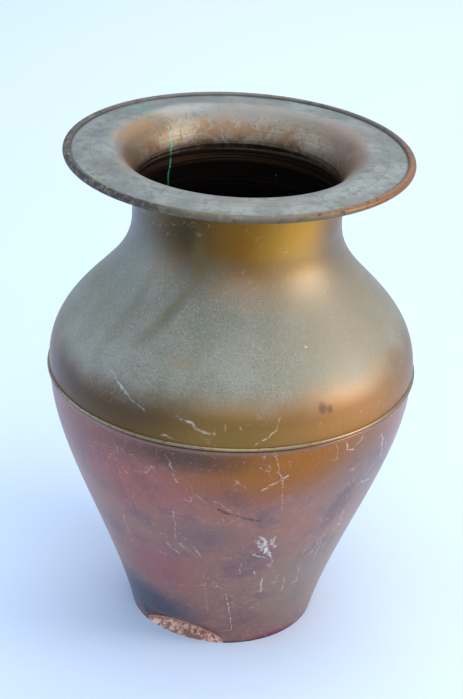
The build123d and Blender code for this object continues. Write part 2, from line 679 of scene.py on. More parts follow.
@dataclass(frozen=True)
class Stage:
    """Pale floor, soft lights and the camera."""

    floor_half: float = 6000.0
    floor_colour: str = "C8DAF0"
    floor_roughness: float = 0.9
    room_colour: str = "DDE9FB"
    room_strength: float = 0.87
    urn_middle: Place = (0.0, 0.0, 250.0)
    far_floor: Place = (300.0, 2400.0, 0.0)
    lens: float = 92.73
    sensor: float = 36.0
    camera_place: Place = (0.0, -1472.7, 1011.3)
    look_down: float = 26.87
    roll: float = 2.39

    def build(self) -> None:
        """Make the floor, the lights, the world and the camera."""
        self.floor()
        lights = (
            SoftLight("right_window", (1500, -350, 900), self.urn_middle, 750, "FFF4E4", 15),
            SoftLight("left_window", (-1500, 100, 700), self.urn_middle, 1200, "BBD6FF", 7),
            SoftLight("sky_panel", (300, -300, 2200), self.urn_middle, 1600, "FFFFFF", 16),
            SoftLight("back_panel", (500, 2000, 2000), self.far_floor, 2200, "FFF8F0", 32),
            SoftLight("front_fill", (250, -2000, 1500), self.urn_middle, 1500, "FFFFFF", 11),
        )
        for light in lights:
            light.hang()
        self.sky()
        self.camera()

    def floor(self) -> None:
        """Make the floor that the urn stands on."""
        half = metres(self.floor_half)
        mesh = bpy.data.meshes.new("floor")
        mesh.from_pydata(
            [(-half, -half, 0), (half, -half, 0), (half, half, 0), (-half, half, 0)],
            [],
            [(0, 1, 2, 3)],
        )
        floor = bpy.data.objects.new("floor", mesh)
        bpy.context.collection.objects.link(floor)
        material = bpy.data.materials.new("pale_cloth_floor")
        material.use_nodes = True
        graph = Graph(material.node_tree)
        surface = graph.add(
            "ShaderNodeBsdfPrincipled",
            {"Base Color": linear(self.floor_colour), "Roughness": self.floor_roughness},
        )
        graph.add("ShaderNodeOutputMaterial", {"Surface": surface})
        mesh.materials.append(material)

    def sky(self) -> None:
        """Give the room a soft even light."""
        world = bpy.data.worlds.new("room")
        world.use_nodes = True
        graph = Graph(world.node_tree)
        light = graph.add(
            "ShaderNodeBackground",
            {"Color": linear(self.room_colour), "Strength": self.room_strength},
        )
        graph.add("ShaderNodeOutputWorld", {"Surface": light})
        bpy.context.scene.world = world

    def camera(self) -> None:
        """Set the camera at the height of a standing person's chest, looking down."""
        camera = bpy.data.cameras.new("camera")
        camera.lens = self.lens
        camera.sensor_width = self.sensor
        holder = bpy.data.objects.new("camera", camera)
        bpy.context.collection.objects.link(holder)
        tilt = Euler((math.radians(90 - self.look_down), 0, 0)).to_matrix()
        lean = Euler((0, 0, math.radians(self.roll))).to_matrix()
        holder.rotation_euler = (tilt @ lean).to_euler()
        holder.location = Vector(self.camera_place) * MM
        bpy.context.scene.camera = holder
        bpy.context.scene.view_settings.view_transform = "Standard"


@dataclass(frozen=True)
class Patch:
    """A zone of another colour on the urn, in degrees round it and millimetres up it."""

    colour: str
    azimuth: float
    height: float
    width: float
    rise: float
    strength: float = 1.0
    softness: float = 0.45
    ragged: float = 0.35
    turn: float = 0.0


@dataclass(frozen=True)
class Scratch:
    """A scratch between two places, each an azimuth in degrees and a height in millimetres."""

    start: Point
    end: Point
    width: float = 0.9
    strength: float = 0.8
    colour: str = "D2B4B0"


@dataclass(frozen=True)
class Noise:
    """A noise: feature size in millimetres, finer layers and how strong they are."""

    size: float
    detail: float
    roughness: float
    seed: float = 0.0
    stretch: Place = (1.0, 1.0, 1.0)


class Texture(Enum):
    """The noises that coats are made of; the rings are drawn out round the axis."""

    CLOUDS = Noise(38.0, 4.0, 0.62)
    MOTTLE = Noise(8.0, 5.0, 0.65)
    GRAIN = Noise(1.7, 2.0, 0.6)
    BREAKS = Noise(5.0, 3.0, 0.7, seed=7.0)
    RINGS = Noise(1.6, 2.0, 0.5, stretch=(0.012, 0.012, 1.0))
    SWAY = Noise(9.0, 2.0, 0.5)
    LIFT = Noise(9.0, 2.0, 0.5, seed=2.0)
    CURLS = Noise(15.0, 1.0, 0.5, seed=3.0)
    CLUSTERS = Noise(34.0, 2.0, 0.5, seed=5.0)


@dataclass(frozen=True)
class Veil:
    """A colour that comes in as a texture runs from one level to another."""

    colour: str
    texture: Texture
    start: float
    end: float
    strength: float = 1.0


@dataclass(frozen=True)
class Band:
    """A ring of colour that fades in over one span of millimetres and out over another."""

    colour: str
    rise: Point
    fall: Point | None = None
    strength: float = 1.0
    ragged: float = 0.0


@dataclass(frozen=True)
class Sheen:
    """How metallic and how rough a surface is, and how far its roughness swings."""

    metallic: float
    roughness: float
    swing: float = 0.0


class MarkTools:
    """Node groups that every copper finish shares."""

    def __init__(self) -> None:
        """Build the groups once."""
        self.chart = self.build_chart()
        self.patch = self.build_patch()
        self.scratch = self.build_scratch()

    @staticmethod
    def start(
        name: str, inputs: Mapping[str, str], outputs: Mapping[str, str]
    ) -> tuple[bpy.types.NodeTree, Graph, bpy.types.NodeInputs]:
        """Open a new shader group.

        Args:
            name: Name of the group.
            inputs: Socket type of each named input.
            outputs: Socket type of each named output.

        Returns:
            The group, its graph and the sockets that its inputs arrive on.
        """
        tree = bpy.data.node_groups.new(name, "ShaderNodeTree")
        for label, kind in inputs.items():
            tree.interface.new_socket(label, in_out="INPUT", socket_type=kind)
        for label, kind in outputs.items():
            tree.interface.new_socket(label, in_out="OUTPUT", socket_type=kind)
        graph = Graph(tree)
        return tree, graph, tree.nodes.new("NodeGroupInput").outputs

    def build_chart(self) -> bpy.types.NodeTree:
        """Return the group that unrolls the urn: millimetres round, up, out, and facing."""
        tree, graph, given = self.start(
            "urn_chart",
            {"Millimetres per degree": "NodeSocketFloat"},
            {
                "Place": "NodeSocketVector",
                "Round": "NodeSocketFloat",
                "Height": "NodeSocketFloat",
                "Radius": "NodeSocketFloat",
                "Facing": "NodeSocketFloat",
                "Upward": "NodeSocketFloat",
            },
        )
        place = graph.add("ShaderNodeTexCoord", output="Object")
        place = graph.add(
            "ShaderNodeVectorMath", {0: place, "Scale": 1 / MM}, operation="SCALE"
        )
        height = graph.add("ShaderNodeSeparateXYZ", {0: place}, output="Z")
        flat = graph.add(
            "ShaderNodeVectorMath", {0: place, 1: (1.0, -1.0, 0.0)}, operation="MULTIPLY"
        )
        right = graph.add("ShaderNodeSeparateXYZ", {0: flat}, output="X")
        front = graph.add("ShaderNodeSeparateXYZ", {0: flat}, output="Y")
        angle = graph.add("ShaderNodeMath", {0: right, 1: front}, operation="ARCTAN2")
        angle = graph.add("ShaderNodeMath", {0: angle}, operation="DEGREES")
        turned = graph.add(
            "ShaderNodeMath",
            {0: angle, 1: given["Millimetres per degree"]},
            operation="MULTIPLY",
        )
        radius = graph.add("ShaderNodeVectorMath", {0: flat}, "Value", operation="LENGTH")
        outward = graph.add(
            "ShaderNodeVectorMath", {0: place, 1: (1.0, 1.0, 0.0)}, operation="MULTIPLY"
        )
        outward = graph.add("ShaderNodeVectorMath", {0: outward}, operation="NORMALIZE")
        normal = graph.add("ShaderNodeTexCoord", output="Normal")
        facing = graph.add(
            "ShaderNodeVectorMath", {0: normal, 1: outward}, "Value", operation="DOT_PRODUCT"
        )
        upward = graph.add("ShaderNodeSeparateXYZ", {0: normal}, output="Z")
        graph.add(
            "NodeGroupOutput",
            {
                "Place": place,
                "Round": turned,
                "Height": height,
                "Radius": radius,
                "Facing": facing,
                "Upward": upward,
            },
        )
        return tree

    def build_patch(self) -> bpy.types.NodeTree:
        """Return the group that masks an oval zone with a ragged, soft edge."""
        tree, graph, given = self.start(
            "tarnish_patch",
            {
                "Chart": "NodeSocketVector",
                "Girth": "NodeSocketFloat",
                "Centre": "NodeSocketVector",
                "Half size": "NodeSocketVector",
                "Turn": "NodeSocketFloat",
                "Softness": "NodeSocketFloat",
                "Ragged": "NodeSocketFloat",
                "Clouds": "NodeSocketFloat",
            },
            {"Mask": "NodeSocketFloat"},
        )
        offset = graph.add(
            "ShaderNodeVectorMath",
            {0: given["Chart"], 1: given["Centre"]},
            operation="SUBTRACT",
        )
        half = graph.add("ShaderNodeMath", {0: given["Girth"], 1: 0.5}, operation="MULTIPLY")
        least = graph.add("ShaderNodeMath", {0: half, 1: -1.0}, operation="MULTIPLY")
        round_way = graph.add("ShaderNodeSeparateXYZ", {0: offset}, output="X")
        up_way = graph.add("ShaderNodeSeparateXYZ", {0: offset}, output="Y")
        round_way = graph.add(
            "ShaderNodeMath", {0: round_way, 1: half, 2: least}, operation="WRAP"
        )
        offset = graph.add("ShaderNodeCombineXYZ", {"X": round_way, "Y": up_way})
        offset = graph.add(
            "ShaderNodeVectorRotate",
            {"Vector": offset, "Angle": given["Turn"]},
            rotation_type="Z_AXIS",
        )
        offset = graph.add(
            "ShaderNodeVectorMath", {0: offset, 1: given["Half size"]}, operation="DIVIDE"
        )
        away = graph.add("ShaderNodeVectorMath", {0: offset}, "Value", operation="LENGTH")
        uneven = graph.add(
            "ShaderNodeMath",
            {0: given["Clouds"], 1: given["Ragged"], 2: away},
            operation="MULTIPLY_ADD",
        )
        outer = graph.add(
            "ShaderNodeMath", {0: 1.0, 1: given["Softness"]}, operation="ADD"
        )
        inner = graph.add(
            "ShaderNodeMath", {0: 1.0, 1: given["Softness"]}, operation="SUBTRACT"
        )
        mask = graph.add(
            "ShaderNodeMapRange",
            {"Value": uneven, "From Min": outer, "From Max": inner},
            interpolation_type="SMOOTHSTEP",
            clamp=False,
        )
        graph.add("NodeGroupOutput", {"Mask": mask})
        return tree

    def build_scratch(self) -> bpy.types.NodeTree:
        """Return the group that masks a line of a given width between two places."""
        tree, graph, given = self.start(
            "scratch",
            {
                "Chart": "NodeSocketVector",
                "Start": "NodeSocketVector",
                "Run": "NodeSocketVector",
                "Run squared": "NodeSocketFloat",
                "Width": "NodeSocketFloat",
            },
            {"Mask": "NodeSocketFloat"},
        )
        offset = graph.add(
            "ShaderNodeVectorMath",
            {0: given["Chart"], 1: given["Start"]},
            operation="SUBTRACT",
        )
        along = graph.add(
            "ShaderNodeVectorMath",
            {0: offset, 1: given["Run"]},
            "Value",
            operation="DOT_PRODUCT",
        )
        along = graph.add(
            "ShaderNodeMath",
            {0: along, 1: given["Run squared"]},
            operation="DIVIDE",
        )
        along = graph.add("ShaderNodeMath", {0: along, 1: 0.0}, operation="MAXIMUM")
        along = graph.add("ShaderNodeMath", {0: along, 1: 1.0}, operation="MINIMUM")
        nearest = graph.add(
            "ShaderNodeVectorMath", {0: given["Run"], "Scale": along}, operation="SCALE"
        )
        away = graph.add(
            "ShaderNodeVectorMath", {0: offset, 1: nearest}, "Value", operation="DISTANCE"
        )
        mask = graph.add(
            "ShaderNodeMapRange",
            {"Value": away, "From Min": given["Width"], "From Max": 0.0},
            interpolation_type="SMOOTHSTEP",
            clamp=False,
        )
        graph.add("NodeGroupOutput", {"Mask": mask})
        return tree


class Coat:
    """A metal surface built up in layers, from the metal to the last scratch."""

    edge_mottle = 0.35
    edge_reach = 3.0
    sway = 3.5
    unbroken: Point = (0.38, 0.58)
    shortest_run = 0.01
    curl_line: Point = (0.016, 0.004)
    curl_cluster: Point = (0.5, 0.6)
    curl_break: Point = (0.46, 0.58)
    turned_in: Point = (0.1, -0.2)
    lacquer_roughness = 0.38

    def __init__(self, name: str, tools: MarkTools, mm_per_degree: float) -> None:
        """Open a material and lay out the places that its layers share.

        Args:
            name: Name of the material.
            tools: The shared groups.
            mm_per_degree: Girth of the wall for each degree, at its middle.
        """
        self.material = bpy.data.materials.new(name)
        self.material.use_nodes = True
        self.graph = Graph(self.material.node_tree)
        self.tools = tools
        self.mm_per_degree = mm_per_degree
        chart = self.graph.tree.nodes.new("ShaderNodeGroup")
        chart.node_tree = tools.chart
        chart.inputs["Millimetres per degree"].default_value = mm_per_degree
        self.place = chart.outputs["Place"]
        self.round = chart.outputs["Round"]
        self.height = chart.outputs["Height"]
        self.radius = chart.outputs["Radius"]
        self.facing = chart.outputs["Facing"]
        self.upward = chart.outputs["Upward"]
        self.chart = self.unrolled(self.height)
        self.textures: dict[Texture, bpy.types.NodeSocket] = {}
        mixed = self.lay(
            self.texture(Texture.CLOUDS), self.texture(Texture.MOTTLE), self.edge_mottle
        )
        self.ragged_edge = self.graph.add(
            "ShaderNodeMath", {0: mixed, 1: 0.5}, operation="SUBTRACT"
        )

    def unrolled(self, second: bpy.types.NodeSocket) -> bpy.types.NodeSocket:
        """Return the unrolled place, made of the way round and a second length."""
        return self.graph.add("ShaderNodeCombineXYZ", {"X": self.round, "Y": second})

    def texture(self, texture: Texture) -> bpy.types.NodeSocket:
        """Add a noise, or find the one that earlier layers already use.

        Args:
            texture: Which noise.

        Returns:
            The noise, 0 to 1.
        """
        if texture not in self.textures:
            noise = texture.value
            place = self.graph.add(
                "ShaderNodeVectorMath",
                {
                    0: self.place,
                    1: noise.stretch,
                    2: tuple(noise.seed * step for step in SEED_STEPS),
                },
                operation="MULTIPLY_ADD",
            )
            self.textures[texture] = self.graph.add(
                "ShaderNodeTexNoise",
                {
                    "Vector": place,
                    "Scale": 1 / noise.size,
                    "Detail": noise.detail,
                    "Roughness": noise.roughness,
                },
            )
        return self.textures[texture]

    def mask(
        self,
        value: bpy.types.NodeSocket | Texture,
        span: Point,
        strength: float = 1.0,
        within: bpy.types.NodeSocket | None = None,
    ) -> bpy.types.NodeSocket:
        """Return a mask that eases in as a value crosses a span.

        Args:
            value: A texture or any other value.
            span: The value where the mask is 0, and where it reaches its strength.
            strength: The mask's highest value.
            within: Another mask, outside which this one is 0.

        Returns:
            The mask.
        """
        if isinstance(value, Texture):
            value = self.texture(value)
        mask = self.graph.add(
            "ShaderNodeMapRange",
            {"Value": value, "From Min": span[0], "From Max": span[1], "To Max": strength},
            interpolation_type="SMOOTHSTEP",
            clamp=False,
        )
        if within is None:
            return mask
        return self.graph.add("ShaderNodeMath", {0: mask, 1: within}, operation="MULTIPLY")

    def uneven(self, value: object, texture: Texture, swing: float) -> bpy.types.NodeSocket:
        """Make a value uneven.

        Args:
            value: A number or a socket.
            texture: The noise that is added to it.
            swing: How far the noise could take it either way.

        Returns:
            The uneven value.
        """
        noise = self.texture(texture)
        centred = self.graph.add("ShaderNodeMath", {0: noise, 1: 0.5}, operation="SUBTRACT")
        return self.graph.add(
            "ShaderNodeMath", {0: centred, 1: 2 * swing, 2: value}, operation="MULTIPLY_ADD"
        )

    def tilted(
        self, value: bpy.types.NodeSocket, azimuth: float, slope: float
    ) -> bpy.types.NodeSocket:
        """Tilt a value, so that its level lines slope round the wall.

        Args:
            value: The value, such as a height.
            azimuth: The way in which it grows, in degrees from the front.
            slope: How much it grows with each millimetre.

        Returns:
            The tilted value.
        """
        angle = math.radians(azimuth)
        towards = self.graph.add(
            "ShaderNodeVectorMath",
            {0: self.place, 1: (math.sin(angle), -math.cos(angle), 0.0)},
            "Value",
            operation="DOT_PRODUCT",
        )
        return self.graph.add(
            "ShaderNodeMath", {0: towards, 1: slope, 2: value}, operation="MULTIPLY_ADD"
        )

    def lay(
        self, below: object, above: object, mask: object, strength: float = 1.0
    ) -> bpy.types.NodeSocket:
        """Lay a colour over a colour, or let a number take over from a number.

        Args:
            below: A hex text, a number or a socket.
            above: What covers it, of the same sort.
            mask: Where it is covered, 0 to 1.
            strength: Factor on the mask.

        Returns:
            The two together.
        """
        if strength != 1.0:
            mask = self.graph.add("ShaderNodeMath", {0: mask, 1: strength}, operation="MULTIPLY")
        is_colour = isinstance(above, str) or getattr(above, "type", None) == "RGBA"
        under, over = (
            linear(part) if isinstance(part, str) else part for part in (below, above)
        )
        return self.graph.add(
            "ShaderNodeMix",
            {"Factor": mask, "A": under, "B": over},
            "Result",
            data_type="RGBA" if is_colour else "FLOAT",
        )

    def veils(
        self,
        below: object,
        veils: Sequence[Veil],
        within: bpy.types.NodeSocket | None = None,
    ) -> object:
        """Lay veils over a colour, one after the other.

        Args:
            below: The colour so far.
            veils: The veils, lowest first.
            within: A mask outside which they don't show, or None.

        Returns:
            The colour under its veils.
        """
        for veil in veils:
            mask = self.mask(veil.texture, (veil.start, veil.end), veil.strength, within)
            below = self.lay(below, veil.colour, mask)
        return below

    def bands(
        self,
        below: object,
        bands: Sequence[Band],
        along: bpy.types.NodeSocket,
    ) -> object:
        """Lay rings of colour over a colour.

        Args:
            below: The colour so far.
            bands: The rings, lowest first.
            along: The height or the radius that they are measured on.

        Returns:
            The colour with its rings.
        """
        for band in bands:
            level = self.uneven(along, Texture.MOTTLE, band.ragged) if band.ragged else along
            mask = self.mask(level, band.rise, band.strength)
            if band.fall is not None:
                mask = self.mask(level, band.fall, within=mask)
            below = self.lay(below, band.colour, mask)
        return below

    def patches(
        self,
        below: object,
        patches: Sequence[Patch],
        chart: bpy.types.NodeSocket | None = None,
    ) -> object:
        """Lay patches over a colour.

        Args:
            below: The colour so far.
            patches: Their places, sizes and colours.
            chart: The unrolled place that they are measured on, or None for height.

        Returns:
            The colour with the patches on it.
        """
        for patch in patches:
            mask = self.graph.add(
                "ShaderNodeGroup",
                {
                    "Chart": chart or self.chart,
                    "Girth": 360 * self.mm_per_degree,
                    "Centre": (patch.azimuth * self.mm_per_degree, patch.height, 0.0),
                    "Half size": (patch.width * self.mm_per_degree, patch.rise, 1.0),
                    "Turn": math.radians(patch.turn),
                    "Softness": patch.softness,
                    "Ragged": patch.ragged * self.edge_reach,
                    "Clouds": self.ragged_edge,
                },
                node_tree=self.tools.patch,
            )
            below = self.lay(below, patch.colour, mask, patch.strength)
        return below

    def scratches(self, below: object, scratches: Sequence[Scratch]) -> object:
        """Lay scratches over a colour, one layer for each of their colours.

        Args:
            below: The colour so far.
            scratches: Their places, widths and colours.

        Returns:
            The colour with the scratches on it.
        """
        shaken = self.graph.add(
            "ShaderNodeCombineXYZ",
            {
                "X": self.uneven(self.round, Texture.SWAY, self.sway),
                "Y": self.uneven(self.height, Texture.LIFT, self.sway),
            },
        )
        found: dict[str, bpy.types.NodeSocket] = {}
        for scratch in sorted(scratches, key=lambda each: each.colour):
            start, end = (
                Vector((azimuth * self.mm_per_degree, height, 0.0))
                for azimuth, height in (scratch.start, scratch.end)
            )
            run = end - start
            mask = self.graph.add(
                "ShaderNodeGroup",
                {
                    "Chart": shaken,
                    "Start": tuple(start),
                    "Run": tuple(run),
                    "Run squared": max(run.length_squared, self.shortest_run),
                    "Width": scratch.width,
                },
                node_tree=self.tools.scratch,
            )
            found[scratch.colour] = self.graph.add(
                "ShaderNodeMath",
                {0: mask, 1: scratch.strength, 2: found.get(scratch.colour, 0.0)},
                operation="MULTIPLY_ADD",
            )
        for colour, mask in found.items():
            below = self.lay(below, colour, self.mask(Texture.BREAKS, self.unbroken, within=mask))
        return below

    def curls(self, strength: float) -> bpy.types.NodeSocket:
        """Draw fine curly scratches along the level lines of a noise.

        Args:
            strength: How strongly they show.

        Returns:
            Their mask.
        """
        level = self.texture(Texture.CURLS)
        off = self.graph.add("ShaderNodeMath", {0: level, 1: 0.5}, operation="SUBTRACT")
        off = self.graph.add("ShaderNodeMath", {0: off}, operation="ABSOLUTE")
        line = self.mask(off, self.curl_line, strength)
        line = self.mask(Texture.CLUSTERS, self.curl_cluster, within=line)
        return self.mask(Texture.BREAKS, self.curl_break, within=line)

    def inner_side(self) -> bpy.types.NodeSocket:
        """Return a mask of the side that faces the axis."""
        return self.mask(self.facing, self.turned_in)

    def relief(self, grain: float) -> bpy.types.NodeSocket:
        """Return the fine relief of spun sheet: rings, with a share of grain."""
        return self.lay(self.texture(Texture.RINGS), self.texture(Texture.GRAIN), grain)

    def dress(
        self,
        colour: object,
        metallic: object,
        roughness: object,
        relief: bpy.types.NodeSocket,
        depth: float,
        lacquer: float = 0.0,
    ) -> bpy.types.Material:
        """Close the material.

        Args:
            colour: Its colour.
            metallic: How far it is bare metal.
            roughness: Its roughness.
            relief: Height of its fine relief, 0 to 1.
            depth: Depth of the relief in millimetres.
            lacquer: How much of the thin clear film is left.

        Returns:
            The finished material.
        """
        bump = self.graph.add("ShaderNodeBump", {"Height": relief, "Distance": metres(depth)})
        surface = self.graph.add(
            "ShaderNodeBsdfPrincipled",
            {
                "Base Color": colour,
                "Metallic": metallic,
                "Roughness": roughness,
                "Normal": bump,
                "Coat Weight": lacquer,
                "Coat Roughness": self.lacquer_roughness,
            },
        )
        self.graph.add("ShaderNodeOutputMaterial", {"Surface": surface})
        return self.material


@dataclass(frozen=True)
class BodyCopper:
    """Spun copper whose lacquer has gone: brown with mauve clouds, and scratched pink.

    Copper oxidation first, in clouds and soft patches; the mauve of the clouds is a painted
    reflection of the pale blue floor, one patch under the seam is a painted warm highlight and
    one low on the left is painted bluish shade.  Over it come the dust, the painted shadow in
    the seam, painted contact shade along the foot and the scratches, and last the bared dent,
    whose cream flecks are painted glints.  The side that faces the axis is painted near black
    as shade.
    """

    name: str = "tarnished_spun_copper"
    mm_per_degree: float = 2.44
    metal: str = "A06E5A"
    # Painted shade: the side that faces the axis is near black.
    inside: str = "120C08"
    bared: str = "D49686"
    scuff: str = "D2A79E"
    scuff_strength: float = 0.6
    oxide_and_floor_reflection: tuple[Veil, ...] = (
        # Mauve clouds of tone, tinted as a painted reflection of the pale blue floor.
        Veil("8C6666", Texture.CLOUDS, 0.38, 0.66, 0.7),
        Veil("B8847A", Texture.MOTTLE, 0.5, 0.7, 0.5),
    )
    dust: tuple[Veil, ...] = (
        Veil("54403C", Texture.CLOUDS, 0.5, 0.7, 0.3),
        Veil("CFA8A2", Texture.GRAIN, 0.42, 0.26, 0.32),
    )
    bands: tuple[Band, ...] = (
        Band("8E6A5C", (247.6, 248.8), (252.0, 251.0), 0.6),
        # Painted shadow under the hem's leaf.
        Band("1A1412", (251.6, 252.4)),
        # Painted contact shade along the foot, darkest at the floor.
        Band("2A282C", (3.2, 0.8), strength=0.75, ragged=2.0),
    )
    bared_span: Point = (0.2, 0.6)
    facet_span: Point = (0.7, 1.0)
    facet: tuple[Veil, ...] = (
        Veil("6A4C3E", Texture.BREAKS, 0.44, 0.56, 0.85),
        # Painted glints: cream flecks in the middle of the bared facet.
        Veil("CFC6A2", Texture.BREAKS, 0.5, 0.4, 0.55),
    )
    sheen: Sheen = Sheen(0.8, 0.4, 0.1)
    bared_metallic: float = 0.3
    inner_sheen: Sheen = Sheen(0.9, 0.7)
    grain: float = 0.5
    depth: float = 0.05
    lacquer: float = 0.4
    patches: tuple[Patch, ...] = (
        Patch("7E4A44", -40, 224, 22, 34, 0.7, 0.8, 0.4),
        Patch("945034", 4, 214, 16, 26, 0.7, 0.8, 0.4),
        # Painted warm highlight: the golden zone under the seam, right of the front.
        Patch("9E5C08", 22, 242, 32, 36, 1.0, 0.6, 0.3),
        Patch("7A6A62", 50, 206, 14, 40, 0.6, 0.8, 0.4),
        Patch("4E3426", -14, 242, 18, 13, 0.85, 0.8, 0.4),
        Patch("A85E52", -32, 196, 17, 26, 0.8, 0.8, 0.3),
        Patch("A85E5C", -30, 96, 17, 24, 0.8, 0.8, 0.4),
        Patch("6E5A60", -8, 150, 14, 14, 0.5, 0.9, 0.5),
        Patch("928270", 44, 70, 26, 48, 0.7, 0.9, 0.3),
        Patch("6A5254", 44, 170, 5, 24, 0.5, 0.35, 0.2, 18),
        # Painted bluish shade low on the left, on the side away from the light.
        Patch("414659", -50, 32, 34, 24, 0.9, 0.6, 0.4),
        Patch("9A3658", 36, 2, 16, 4, 0.9, 0.5, 0.3),
        Patch("8A5A24", 150, 230, 40, 30, 0.8, 0.6, 0.5),
        Patch("4A4248", 120, 60, 30, 40, 0.7, 0.5, 0.5),
        Patch("96615A", -130, 150, 34, 50, 0.7, 0.6, 0.5),
        Patch("86604A", -160, 60, 30, 40, 0.6, 0.6, 0.5),
    )
    scratches: tuple[Scratch, ...] = (
        Scratch((-18, 244), (-15, 214), 0.9, 0.7),
        Scratch((-17, 180), (-18, 141), 0.8, 0.6),
        Scratch((-17, 138), (-13, 128), 2.2, 0.8),
        Scratch((-12, 136), (-9, 124), 1.6, 0.8),
        Scratch((13, 152), (17, 138), 2.6, 0.9, "E6DAD6"),
        Scratch((12, 146), (15, 132), 2.4, 0.8, "E6DAD6"),
        Scratch((17, 146), (20, 134), 2.4, 0.8, "E6DAD6"),
        Scratch((12, 128), (18, 118), 1.4, 0.8, "E6DAD6"),
        Scratch((42, 128), (40, 108), 1.6, 0.8, "DCC8C8"),
        Scratch((36, 96), (38, 76), 1.4, 0.7, "DCC8C8"),
        Scratch((48, 156), (51, 134), 1.4, 0.7, "DCC8C8"),
        Scratch((30, 84), (31, 66), 1.2, 0.7, "DCC8C8"),
        Scratch((7, 118), (8, 100), 1.0, 0.6, "DCC8C8"),
        Scratch((-22, 132), (-18, 122), 1.6, 0.7, "D8B4AE"),
        Scratch((-36, 222), (-33, 210), 1.4, 0.6, "D8A89C"),
        Scratch((-10, 206), (-6, 196), 1.2, 0.6, "D8A89C"),
        Scratch((2, 226), (6, 214), 1.2, 0.6, "D8B09C"),
        Scratch((15, 140), (19, 124), 3.4, 0.95, "E6DAD6"),
        Scratch((19, 150), (16, 128), 1.6, 0.9, "E6DAD6"),
        Scratch((19, 124), (21, 112), 1.6, 0.8, "E6DAD6"),
        Scratch((14, 101), (15, 97), 2.0, 0.9, "E6DAD6"),
        Scratch((18, 90), (19, 70), 1.3, 0.8, "E6DAD6"),
        Scratch((25, 92), (26, 78), 0.9, 0.7),
        Scratch((15, 246), (19, 188), 0.9, 0.7, "D8A896"),
        Scratch((11, 212), (19, 226), 1.8, 0.8, "DDB5A4"),
        Scratch((10, 236), (13, 232), 1.1, 0.6),
        Scratch((38, 246), (38.5, 238), 1.3, 0.9, "E8B9A8"),
        Scratch((38.5, 238), (41, 235), 1.3, 0.9, "E8B9A8"),
        Scratch((41, 235), (45, 244), 1.3, 0.9, "E8B9A8"),
        Scratch((55, 236), (60, 205), 1.5, 0.8),
        Scratch((59, 225), (63, 200), 1.0, 0.7),
        Scratch((51, 188), (58, 180), 1.4, 0.8),
        Scratch((44, 96), (43, 133), 1.5, 0.8),
        Scratch((39, 73), (35, 70), 1.3, 0.8),
        Scratch((34, 110), (37, 127), 1.1, 0.6),
        Scratch((46, 112), (50, 138), 1.0, 0.7),
        Scratch((2.5, 72), (6.5, 18), 0.9, 0.8, "E9E4E6"),
        Scratch((-8, 99), (-7, 41), 1.0, 0.35),
        Scratch((-2, 81), (0, 77), 1.4, 0.7),
        Scratch((-40, 152), (-41, 116), 1.5, 0.6, "D29A92"),
        Scratch((-30, 216), (-25, 217), 0.9, 0.8, "E0A090"),
        Scratch((-48, 226), (-46, 217), 1.0, 0.7),
        Scratch((17, 52), (26, 55), 1.0, 0.6),
        Scratch((-2, 188), (12, 172), 2.2, 0.75, "3E2E2A"),
        Scratch((-3, 197), (2, 186), 1.0, 0.6),
        Scratch((-60, 90), (-52, 60), 0.9, 0.5),
        Scratch((100, 200), (112, 160), 1.2, 0.7),
        Scratch((150, 120), (146, 70), 1.1, 0.7),
        Scratch((-110, 180), (-120, 130), 1.0, 0.7),
        Scratch((-150, 90), (-140, 84), 2.0, 0.8),
    )

    def material(self, tools: MarkTools) -> bpy.types.Material:
        """Build the material of the lower shell.

        Args:
            tools: The shared shader groups.

        Returns:
            The material.
        """
        coat = Coat(self.name, tools, self.mm_per_degree)
        colour = coat.veils(self.metal, self.oxide_and_floor_reflection)
        colour = coat.patches(colour, self.patches)
        colour = coat.veils(colour, self.dust)
        colour = coat.bands(colour, self.bands, coat.height)
        colour = coat.lay(colour, self.scuff, coat.curls(self.scuff_strength))
        colour = coat.scratches(colour, self.scratches)
        bare = coat.graph.add(
            "ShaderNodeAttribute", output="Fac", attribute_name=FootDent.attribute
        )
        colour = coat.lay(colour, self.bared, coat.mask(bare, self.bared_span))
        colour = coat.veils(colour, self.facet, coat.mask(bare, self.facet_span))
        inner = coat.inner_side()
        # Painted shade over the side that faces the axis.
        colour = coat.lay(colour, self.inside, inner)
        metallic = coat.lay(self.sheen.metallic, self.bared_metallic, bare)
        metallic = coat.lay(metallic, self.inner_sheen.metallic, inner)
        roughness = coat.uneven(self.sheen.roughness, Texture.MOTTLE, self.sheen.swing)
        roughness = coat.lay(roughness, self.inner_sheen.roughness, inner)
        relief = coat.relief(self.grain)
        return coat.dress(colour, metallic, roughness, relief, self.depth, self.lacquer)


